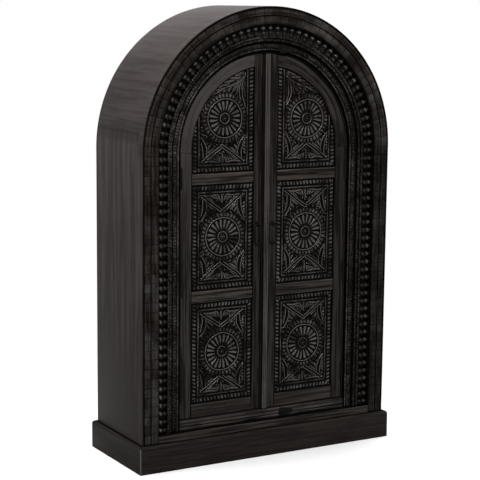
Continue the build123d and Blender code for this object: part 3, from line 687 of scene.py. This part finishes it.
carving = {  # millimetres; rows and lines are measured in from the visible edge of the panel
    "grid": 1.4, "groundDrop": 1.1, "relief": 6.3, "tongueDepth": 6.0, "stipple": 2.7, "fuzz": 0.9, "seed": 5,
    "rosetteRise": 126, "petals": 20, "petalRun": (26.5, 70.0), "petalLift": 5.9, "petalHalf": (1.9, 5.1),
    "scallops": 36, "scallopRun": (83.5, 100.5), "scallopHalf": 6.6, "scallopLift": 4.1,
    "rings": ((77.0, 2.6, 5.6), (20.5, 2.6, 4.2)),  # radius, half width, lift
    "star": (8.5, 6.4, 3.2), "starPoints": 6, "starReach": 15, "boss": (3.6, 5.6),
    "archLip": 4.5, "behindArch": 7.6,  # where the carving and the panel itself stop under the arched rail
    "gadroons": (6.0, 23.5), "gadroonPitch": 16.0, "gadroonLean": 0.22, "gadroonHalf": 7.3, "gadroonLift": 4.3,
    "fillet": (32.5, 2.2), "filletLift": 3.7, "groove": (39.0, 3.0), "fieldEdge": 32.0,
    "borderDrift": {"left": 3.5, "right": -1.5},  # how far the border sits toward the meeting edge
    # how far each hand-cut rosette sits off the middle of its panel: toward the meeting edge, and up
    "drift": {"leftTop": (10.5, 6.5), "leftMiddle": (4.0, 0.0), "leftBottom": (4.0, -2.5),
              "rightTop": (-2.5, -4.5), "rightMiddle": (-2.5, -4.5), "rightBottom": (0.0, -6.0)},
    # leaves that spring from a stem high beside the meeting stile: three points, half width, lift
    "crown": (((104, 186), (100, 176), (95, 166), 4.6, 4.6), ((86, 196), (88, 182), (93, 168), 5.2, 4.8),
              ((64, 190), (78, 186), (92, 168), 5.4, 5.0), ((46, 180), (66, 178), (90, 166), 5.6, 5.0),
              ((30, 162), (56, 166), (88, 163), 5.8, 5.2), ((106, 84), (92, 112), (99, 152), 4.4, 4.8),
              ((106, 116), (104, 132), (101, 150), 3.8, 4.2), ((62, 98), (66, 124), (86, 150), 5.4, 4.8),
              ((44, 106), (54, 126), (78, 150), 5.2, 4.8), ((8, 148), (30, 150), (56, 156), 5.2, 5.0),
              ((-16, 130), (4, 134), (30, 142), 5.4, 5.0), ((-36, 116), (-14, 118), (10, 130), 5.0, 4.8),
              ((-56, 98), (-40, 104), (-14, 118), 4.8, 4.6), ((22, 108), (30, 120), (46, 136), 5.0, 4.6),
              ((2, 108), (10, 118), (26, 128), 4.6, 4.4), ((84, 92), (76, 112), (84, 138), 4.8, 4.6)),
}


def ridge(distance, half):
    return np.sqrt(np.clip(1 - (distance / half) ** 2, 0, 1))


def curveLine(start, middle, end, count=12):
    t = np.linspace(0, 1, count)[:, None]
    start, middle, end = (np.array(point, float) for point in (start, middle, end))
    return (1 - t) ** 2 * start + 2 * t * (1 - t) * middle + t ** 2 * end


class Relief:  # heights in millimetres over a panel's own u and v
    def __init__(self, u, v):
        self.u = u
        self.v = v
        self.height = np.zeros_like(u)

    def lift(self, heights):
        self.height = np.maximum(self.height, heights)

    def strap(self, line, half, lift, taper=0.0, vein=0.0, hollow=False, moat=1.8):
        # a raised strap along a line; taper makes a leaf of it, vein cuts its midrib, moat clears its sides,
        # and a hollow one keeps only its two rims
        reach = half * 1.5 + moat + 1
        near = ((self.u > line[:, 0].min() - reach) & (self.u < line[:, 0].max() + reach)
                & (self.v > line[:, 1].min() - reach) & (self.v < line[:, 1].max() + reach))
        if not near.any():
            return
        u, v = self.u[near], self.v[near]
        best = np.full(u.shape, 1e6)
        bestHalf = np.ones(u.shape)
        for index, (first, second) in enumerate(zip(line[:-1], line[1:])):
            du, dv = second - first
            t = np.clip(((u - first[0]) * du + (v - first[1]) * dv) / (du * du + dv * dv), 0, 1)
            distance = np.hypot(u - first[0] - t * du, v - first[1] - t * dv)
            place = (index + t) / (len(line) - 1)
            width = np.full(u.shape, half)
            if taper:
                width = half * np.maximum(np.sin(np.pi * (0.04 + 0.92 * place)), 0.01) ** taper
            closer = distance - width < best - bestHalf
            best = np.where(closer, distance, best)
            bestHalf = np.where(closer, width, bestHalf)
        shape = ridge(best, bestHalf) ** 0.55 * (1 - vein * np.exp(-(best / (0.20 * bestHalf + 0.5)) ** 2))
        if hollow:
            shape = ridge(np.clip(bestHalf - best - 2.5, -9, 9), 2.5) ** 0.6
        held = self.height[near]
        cleared = np.where((best > bestHalf) & (best < bestHalf + moat), np.minimum(held, 0.4), held)
        kept = 0.15 if hollow else 0.35
        self.height[near] = np.where(best <= bestHalf, np.maximum(lift * shape, held * kept), cleared)


def carveRosette(relief, rng):
    radius = np.hypot(relief.u, relief.v)
    turn = np.arctan2(relief.v, relief.u)
    low, high = carving["scallopRun"]
    count = carving["scallops"]
    aside = ((turn / (2 * np.pi) * count) % 1 - 0.5) * 2 * np.pi * radius / count
    rounded = np.sqrt(np.clip(1 - ((radius - low - 9) / (high - low - 9)).clip(0) ** 2, 0, 1))
    scallop = carving["scallopLift"] * ridge(aside, carving["scallopHalf"]) ** 0.5 * rounded * (radius > low)
    relief.height = np.where((radius > low - 3) & (radius < high), scallop, relief.height)
    count = carving["petals"]
    share = (turn / (2 * np.pi) * count) % count
    order = np.floor(share).astype(int) % count
    start, end = carving["petalRun"]
    lean = rng.uniform(-0.05, 0.05, count)[order]
    length = end + rng.uniform(-1.3, 1.0, count)[order]
    lift = rng.uniform(0.86, 1.0, count)[order]
    aside = (share - np.floor(share) - 0.5 + lean) * (2 * np.pi * radius / count)
    narrow, widening = carving["petalHalf"]
    half = narrow + widening * np.clip((radius - start) / (end - start), 0, 1)
    tip = np.sqrt(np.clip(1 - ((radius - (length - 8)) / 8).clip(0) ** 2, 0, 1))
    petal = carving["petalLift"] * lift * ridge(aside, half * tip.clip(0.05)) ** 0.6
    petal *= (0.5 + 0.5 * np.clip((radius - start) / 16, 0, 1)) * (1 - 0.22 * np.exp(-(aside / 1.5) ** 2))
    petal = petal * (radius > start) * (radius < length)
    relief.height = np.where(radius < low - 3, petal, relief.height)
    for place, half, lift in carving["rings"]:
        relief.lift(lift * ridge(radius - place, half) ** 0.6)
    place, half, lift = carving["star"]
    star = lift * np.abs(np.cos(carving["starPoints"] / 2 * turn)) ** 0.6 * ridge(radius - place, half)
    relief.lift(np.where(radius < carving["starReach"], star, 0))
    half, lift = carving["boss"]
    relief.lift(lift * ridge(radius, half))


def carveEnd(relief, start, end, half, toward):
    # the straps, leaves and corner curls between the rosette and the border, at one end
    for side in (-1, 1):
        edge = side * half

        def strap(points, *sizes, **shape):  # each point: share of the half width, and distance up
            relief.strap(curveLine(*((share * edge, toward * v) for share, v in points)), *sizes, **shape)

        for share, size in ((0.20, 4.6), (0.42, 5.0), (0.64, 4.8)):  # leaflets of the diamond
            strap(((share * 0.9, end - 6), (share * 0.80, end - 18 + 10 * share),
                   (share * 0.40, end - 38 + 14 * share)), size, 5.4, taper=0.6, vein=0.35)
        strap(((0, end - 6), (0, end - 22), (0, end - 48)), 4.4, 5.4, taper=0.6, vein=0.4)
        for lift, points in (  # leaves between the side scroll and the scallops
                (5.4, ((0.64, start + 42), (0.56, start + 24), (0.34, start + 10))),
                (5.2, ((0.68, start + 34), (0.62, start + 12), (0.50, start - 2))),
                (5.0, ((0.72, start + 20), (0.72, start), (0.62, start - 12))),
                (5.0, ((0.80, start - 6), (0.84, start - 22), (0.80, start - 36)))):
            strap(points, 5.0, lift, taper=0.5, vein=0.35)
        for rise in (-34, -22, -10, 3, 16, 29):  # leaflets between the scroll and the side
            strap(((0.995, start + rise + 7), (0.93, start + rise + 4),
                   (0.86 if -20 < rise < 20 else 0.90, start + rise - 3)), 4.4, 5.2, taper=0.5)
        strap(((0.97, start - 40), (0.56, start + 16), (0.80, end - 10)), 11.5, 4.9, taper=0.6, hollow=True)
        strap(((0.12, start + 17), (0.30, start + 34), (0.60, end - 15)), 3.2, 5.4, vein=0.2)
        strap(((-0.02, start + 1), (0.40, start + 30), (0.84, end - 11)), 7.8, 5.0, hollow=True)
        strap(((0.70, end - 14), (0.34, end - 22), (0, end - 1)), 3.6, 5.6, vein=0.3)
        strap(((0.90, end - 3), (0.52, end - 5), (0.22, end - 2)), 4.6, 4.8, taper=0.6, vein=0.4)
        curl = np.hypot(relief.u - 0.92 * edge, relief.v - toward * (end - 9))
        relief.height = np.where(curl < 10.5, 0.3, relief.height)
        relief.lift(4.9 * ridge(curl - 6.6, 3.0) ** 0.6)
        relief.lift(4.6 * ridge(curl, 2.6))


def carveCrown(relief):  # leaves that follow the arch down
    for *line, half, lift in carving["crown"]:
        relief.strap(curveLine(*line), half, lift, taper=0.55, vein=0.45)
    relief.strap(curveLine((102, 48), (66, 104), (92, 164)), 9.0, 5.2, taper=0.5, hollow=True)
    relief.strap(curveLine((92, 164), (66, 138), (14, 128)), 4.6, 6.0, taper=0.3, vein=0.5)
    relief.strap(curveLine((14, 128), (-6, 122), (-34, 104)), 4.0, 5.4, taper=0.4, vein=0.4)
    relief.lift(5.6 * ridge(np.hypot(relief.u - 93, relief.v - 166), 6.0))


def carveBorder(relief, inset, along, wave):  # the leaning gadroons, the fillet and the groove inside it
    first, last = carving["gadroons"]
    pitch = carving["gadroonPitch"]
    along = along + carving["gadroonLean"] * (inset - first)
    along = along + 1.2 * np.sin(along / 23 + wave[1]) + 0.8 * np.sin(along / 11 + wave[2])
    offset = ((along / pitch) % 1 - 0.5) * pitch
    middle, reach = (first + last) / 2, (last - first) / 2
    swell = 1 - (offset / carving["gadroonHalf"]) ** 2 - np.abs((inset - middle) / reach) ** 4
    border = np.where((inset < last) & (inset > first), carving["gadroonLift"] * np.sqrt(np.clip(swell, 0, 1)), 0)
    spot, width = carving["fillet"]
    border = np.maximum(border, carving["filletLift"] * ridge(inset - spot, width) ** 0.5)
    relief.height = np.where(inset < spot + width, border, relief.height)
    spot, width = carving["groove"]
    relief.height = relief.height * (1 - ridge(inset - spot, width) ** 0.5)


def carvePanel(node, name, towardMeeting, visible, arched):
    low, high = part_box(node)
    (xLow, xHigh), (zLow, zHigh) = visible
    tongueFrontY = low.y + carving["tongueDepth"] * mm
    step = carving["grid"] * mm
    x, z = np.meshgrid(np.linspace(low.x, high.x, int((high.x - low.x) / step) + 1),
                       np.linspace(low.z, high.z, int((high.z - low.z) / step) + 1))
    centreX = (xLow + xHigh) / 2
    centreZ = springZ + carving["rosetteRise"] * mm if arched else (zLow + zHigh) / 2
    rng = np.random.default_rng(carving["seed"] + sum(map(ord, name)))
    wave = rng.uniform(0, 6.28, 4)
    u = towardMeeting * (x - centreX) / mm
    v = (z - centreZ) / mm
    half, up, down = (xHigh - xLow) / 2 / mm, (zHigh - centreZ) / mm, (centreZ - zLow) / mm
    archReach = -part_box("left_door_hinge_stile")[1].x
    archInset = np.where(z > springZ, (archReach - np.hypot(x, z - springZ)) / mm, 1e6) if arched else 1e6
    sideInset = half - np.abs(u - carving["borderDrift"]["left" if towardMeeting > 0 else "right"])
    endInset = v + down if arched else np.minimum(v + down, up - v)
    inset = np.minimum(sideInset, endInset)
    relief = Relief(u + 0.7 * np.sin(v / 19 + wave[0]) + 0.4 * np.sin(v / 7 + wave[1]),
                    v + 0.7 * np.sin(u / 17 + wave[2]) + 0.4 * np.sin(u / 8 + wave[3]))
    stipple = blurred(rng.standard_normal(u.shape), 1)
    relief.lift(carving["stipple"] * np.clip(stipple / stipple.std(), 0, 1.5))
    outer = carving["scallopRun"][1]
    edge = carving["fieldEdge"]
    carveEnd(relief, outer, down - edge, half - edge, -1)
    if arched:
        carveCrown(relief)
    else:
        carveEnd(relief, outer, up - edge, half - edge, 1)
    aside, raised = carving["drift"][name.removesuffix("Panel")]
    relief.u, relief.v = relief.u - aside, relief.v - raised
    carveRosette(relief, rng)
    carveBorder(relief, inset, np.where(sideInset < endInset, v, u), wave)
    relief.height = np.where(archInset < carving["archLip"], 0, relief.height)
    heights = relief.height + carving["fuzz"] * blurred(rng.standard_normal(u.shape), 2)
    # light on the crests as wear and painted highlight; the ground, the bare strip under the arched rail and the
    # groove stay at the deep colour as painted shade
    worn = 1.02 * np.clip(heights / carving["relief"], 0, 1) ** 1.3 + 0.15 * (heights - blurred(heights, 4))
    patches = blurred(rng.standard_normal(u.shape), 8, 3)
    worn = np.clip(worn * np.clip(1 + 0.15 * patches / patches.std(), 0.6, 1.3), 0, 1.25)
    inGroove = np.minimum(inset, archInset) < 0.0
    y = tongueFrontY + (carving["groundDrop"] - np.clip(heights, -0.4, carving["relief"])) * mm
    y = np.maximum(np.where(inGroove, tongueFrontY, y), low.y)
    keep = np.ones(u.shape, bool)
    if arched:
        keep = np.hypot(x, np.maximum(z - springZ, 0)) <= archReach + carving["behindArch"] * mm
    return panelSlab(name, x, y, z, np.where(inGroove, 0, worn), keep, high.y)


def panelSlab(name, x, y, z, worn, keep, backY):
    # the carved front with its edges carried back to a flat back
    index = np.arange(x.size).reshape(x.shape)
    cell = keep[:-1, :-1] & keep[1:, :-1] & keep[:-1, 1:] & keep[1:, 1:]
    quads = np.stack([index[:-1, :-1], index[:-1, 1:], index[1:, 1:], index[1:, :-1]], -1)[cell]
    used = np.unique(quads)
    renumber = np.full(x.size, -1)
    renumber[used] = np.arange(len(used))
    points = np.stack([x.ravel(), y.ravel(), z.ravel()], -1)[used]
    mesh = bpy.data.meshes.new(name)
    mesh.from_pydata(points.tolist(), [], renumber[quads].tolist())
    wearLightLayer(mesh, worn.ravel()[used])
    form = bmesh.new()
    form.from_mesh(mesh)
    rim = [edge for edge in form.edges if edge.is_boundary]
    walls = bmesh.ops.extrude_edge_only(form, edges=rim)["geom"]
    rubbed = form.verts.layers.float["rub"]
    backEdges = [part for part in walls if isinstance(part, bmesh.types.BMEdge) and part.is_boundary]
    for vertex in {vertex for edge in backEdges for vertex in edge.verts}:
        vertex.co.y = backY
        vertex[rubbed] = 0.0
    bmesh.ops.contextual_create(form, geom=backEdges)
    bmesh.ops.recalc_face_normals(form, faces=form.faces)
    form.to_mesh(mesh)
    form.free()
    smoothMesh(mesh, 70)
    return mesh


for word, towardMeeting in (("left", 1), ("right", -1)):
    body = word + "_door"
    boxes = {member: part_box(f"{body}_{member}_rail") for member in ("bottom", "lower", "upper", "arched")}
    (lowerLow, lowerHigh), (upperLow, upperHigh) = boxes["lower"], boxes["upper"]
    spans = {"bottom": (boxes["bottom"][1].z, lowerLow.z), "middle": (lowerHigh.z, upperLow.z),
             "top": (upperHigh.z, boxes["arched"][1].z)}
    for level, span in spans.items():
        name = f"{word}{level.capitalize()}Panel"
        node = f"{body}_{level}_panel"
        mesh = carvePanel(node, name, towardMeeting, ((lowerLow.x, lowerHigh.x), span), level == "top")
        addPiece(name, mesh, ["carved"], body, [node])
        print("carved", name, len(mesh.polygons))


doors = {
    "railEase": 3.2, "stileEase": 3.0, "rimReach": 5 * mm,
    # member: its finish on the left leaf, then on the right one
    # the left leaf's paler hinge stile and arched rail carry painted sheen
    "looks": {"hinge_stile": ("paleStile", "upright"), "meeting_stile": ("upright", "upright"),
              "arched_rail": ("paleArch", "arch"), "upper_rail": ("level", "level"),
              "lower_rail": ("pale", "level"), "bottom_rail": ("lowRail", "lowRail")},
}


def inShadedReveal(node, face):  # the flanks and rims that stand in the gaps of the leaves, darkened as painted shade
    endFace = node.endswith(("er_rail", "bottom_rail")) and abs(face.normal.x) > 0.3
    outward = Vector((face.center.x, 0.0, max(face.center.z - springZ, 0.0)))
    rim = outward.length > leafEdge - doors["rimReach"] and face.normal.dot(outward.normalized()) > 0.6
    return endFace or rim or (face.material_index == 0 and abs(face.normal.x) > 0.6)


for leaf, word in enumerate(("left", "right")):
    for member, memberLooks in doors["looks"].items():
        ease = doors["railEase" if "rail" in member else "stileEase"]
        easedCopy(f"{word}_door_{member}", memberLooks[leaf], ease, body=word + "_door",
                  wornEdge="edge" if "er_rail" in member else None, darkWhere=inShadedReveal)


astragal = {"reeds": 3, "rebate": 7.5 * mm, "rebateDrop": 1.5 * mm, "topRun": 22 * mm, "crestRub": 0.55,
            "rebateRub": -0.55}


def astragalMesh():  # reeds beside a rebate, cut off at the top by the leaf's arch
    low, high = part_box("right_door_astragal")
    reedsFrom = low.x + astragal["rebate"]
    half = (high.x - reedsFrom) / astragal["reeds"] / 2
    floor = high.y - astragal["rebateDrop"]
    outline = [(low.x, high.y), (low.x, floor), (reedsFrom - 0.3 * mm, floor)]
    for reed in range(astragal["reeds"]):
        centre = reedsFrom + (2 * reed + 1) * half
        outline += [(centre - half * math.cos(turn), low.y + half * (1 - math.sin(turn)))
                    for turn in np.linspace(0, math.pi, 7)]
    outline.append((high.x, high.y))
    rings = [[(x, y, z) for x, y in outline] for z in np.linspace(low.z, high.z - astragal["topRun"], 12)]
    rings.append([(x, y, springZ + math.sqrt((high.z - springZ) ** 2 - x ** 2)) for x, y in outline])
    # the rebate beside the meeting gap is darkened as painted shade; the reed crests are worn lighter
    worn = [astragal["rebateRub"] if x < reedsFrom - 0.2 * mm else astragal["crestRub"] if y < low.y + 1.6 * mm
            else 0.0 for x, y in outline]
    return ringMesh("astragalStrip", rings, worn * len(rings), 50)


addPiece("astragalStrip", astragalMesh(), ["upright"], "right_door", ["right_door_astragal"])
print("doors done")


for place in ("top", "bottom"):
    easedCopy(place + "_turn_button", "iron", 0.9, body=place + "_button")
ironNodes = ["button_rivets"] + [f"{word}_{part}" for word in ("left", "right") for part in
                                 ("hinge_frame_halves", "hinge_door_halves", "hinge_pins", "pull_post", "bail")]
innerNodes = ["back_panel", "floor_board", "lower_shelf", "middle_shelf", "upper_shelf", "shelf_cleats",
              "left_jamb", "right_jamb", "arch_head", "threshold_rail"]
for look, nodes in (("iron", ironNodes), ("inside", innerNodes)):
    for node in nodes:
        dress(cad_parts[node].data, [look])
print("ironwork and inner boards dressed")


stage = {"size": 16.0, "clear": 0.65, "fade": 1.7, "lift": 0.16, "floor": (0.94, 0.94, 0.94, 1),
         "bounce": (0.16, 0.16, 0.16, 1), "ambient": (0.96, 0.97, 1.0, 1), "strength": 0.30,
         "white": (1, 1, 1, 1)}
lamps = {  # place, target, size, power
    "highKey": ((-1.7, -3.0, 4.0), (0.0, -0.2, 1.0), (1.0, 1.0), 178),
    "leftSide": ((-2.4, 0.3, 2.05), (-0.6, 0.0, 1.2), (0.9, 0.9), 44),
    "overhead": ((1.3, 0.9, 4.6), (0.0, 0.0, 0.9), (3.0, 2.2), 225),
    "rightFill": ((3.2, -3.4, 2.2), (0.0, -0.2, 0.9), (2.0, 2.0), 14),
}
view = {"place": (-3.1081, -5.3619, 1.8401), "yaw": -30.17, "pitch": 9.4, "roll": 0.60,
        "focal": 1507.1, "frameSide": 480, "centre": (245.4, 252.3), "sensor": 36.0}


def rayMasks(tree):  # what the camera sees, and that with what shines or shows through
    seen = makeNode(tree, "ShaderNodeLightPath", output="Is Camera Ray")
    return seen, (seen + seen.other("Is Glossy Ray") + seen.other("Is Transmission Ray")).limit()


def stageFinish():  # pale near the object for its shadow, fading to white
    finish, tree, shader = newFinish("paleFloor")
    place = makeNode(tree, "ShaderNodeTexCoord", output="Object")
    distance = makeNode(tree, "ShaderNodeVectorMath", {0: place}, output="Value", operation="LENGTH")
    seen, shown = rayMasks(tree)
    fillSockets(tree, shader, {"Base Color": mixColour(tree, shown, stage["bounce"], stage["floor"]),
                               "Roughness": 0.9, "Specular IOR Level": 0.0})
    white = makeNode(tree, "ShaderNodeEmission", {"Color": stage["white"], "Strength": 1.0})
    fade = (distance.ramp(stage["clear"], stage["fade"]) + stage["lift"]).limit() * seen
    blend = makeNode(tree, "ShaderNodeMixShader", {0: fade, 1: Wire(tree, shader.outputs[0]), 2: white})
    fillSockets(tree, tree.nodes["Material Output"], {"Surface": blend})
    return finish


def layFloor():
    half = stage["size"] / 2
    mesh = bpy.data.meshes.new("floor")
    mesh.from_pydata([(-half, -half, 0), (half, -half, 0), (half, half, 0), (-half, half, 0)], [], [(0, 1, 2, 3)])
    mesh.materials.append(stageFinish())
    floor = addObject("floor", mesh)


def lightWorld():
    world = bpy.data.worlds.new("studio")
    scene.world = world
    world.use_nodes = True
    tree = world.node_tree
    tree.nodes.clear()
    soft = makeNode(tree, "ShaderNodeBackground", {"Color": stage["ambient"], "Strength": stage["strength"]})
    white = makeNode(tree, "ShaderNodeBackground", {"Color": stage["white"], "Strength": 1.0})
    blend = makeNode(tree, "ShaderNodeMixShader", {0: rayMasks(tree)[1], 1: soft, 2: white})
    makeNode(tree, "ShaderNodeOutputWorld", {"Surface": blend})


def addLamp(name, place, target, size, power):
    data = bpy.data.lights.new(name, "AREA")
    data.shape = "RECTANGLE"
    data.size, data.size_y = size
    data.energy = power
    lamp = addObject(name, data)
    lamp.location = place
    lamp.rotation_euler = (Vector(target) - Vector(place)).to_track_quat("-Z", "Y").to_euler()


def addCamera():
    side = view["frameSide"]
    data = bpy.data.cameras.new("camera")
    data.sensor_width = view["sensor"]
    data.lens = view["focal"] / side * view["sensor"]
    data.shift_x = (side / 2 - view["centre"][0]) / side
    data.shift_y = (view["centre"][1] - side / 2) / side
    camera = addObject("camera", data)
    turns = ((view["yaw"], "Z"), (90 - view["pitch"], "X"), (view["roll"], "Z"))
    yaw, pitch, roll = (Matrix.Rotation(math.radians(angle), 4, axis) for angle, axis in turns)
    camera.matrix_world = Matrix.Translation(view["place"]) @ yaw @ pitch @ roll
    scene.camera = camera


layFloor()
lightWorld()
for name, lamp in lamps.items():
    addLamp(name, *lamp)
addCamera()
scene.view_settings.view_transform = "Standard"
print("stage, lamps and camera set")
